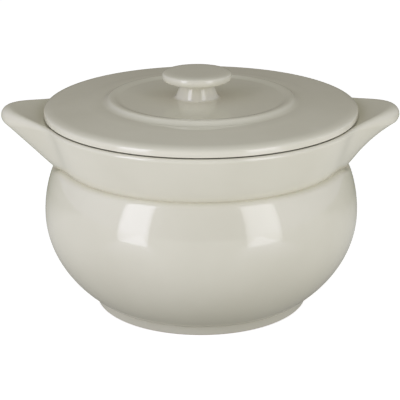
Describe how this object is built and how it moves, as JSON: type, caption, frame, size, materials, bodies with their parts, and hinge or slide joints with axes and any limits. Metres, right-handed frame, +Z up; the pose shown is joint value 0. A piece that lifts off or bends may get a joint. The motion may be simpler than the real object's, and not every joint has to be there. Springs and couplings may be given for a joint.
{
  "type": "soup bowl with lid",
  "caption": "Round-bellied glazed porcelain soup bowl on a foot ring, its flared collar drawn out into side lugs, with a flat lift-off lid that carries a raised ring and a mushroom knob.",
  "frame": {"origin": "centre of the foot ring, on the surface the bowl stands on", "axes": "+Z up along the axis of the bowl and the lid; +X through the middle of the lug whose underside is hollow, and the other lug points along -X"},
  "size_m": [0.1609, 0.1286, 0.0961],
  "materials": {
    "ivory_glaze": "clear gloss glaze over an ivory porcelain body, bare only where the foot ring stands"
  },
  "bodies": {
    "bowl": {"bowl": "ivory_glaze"},
    "lid": {"lid": "ivory_glaze", "lid_knob": "ivory_glaze"}
  },
  "joints": [
    {"name": "lid_lift", "type": "slide", "parent": "bowl", "child": "lid", "axis": [0, 0, 1], "range_m": [0, 0.12]}
  ]
}
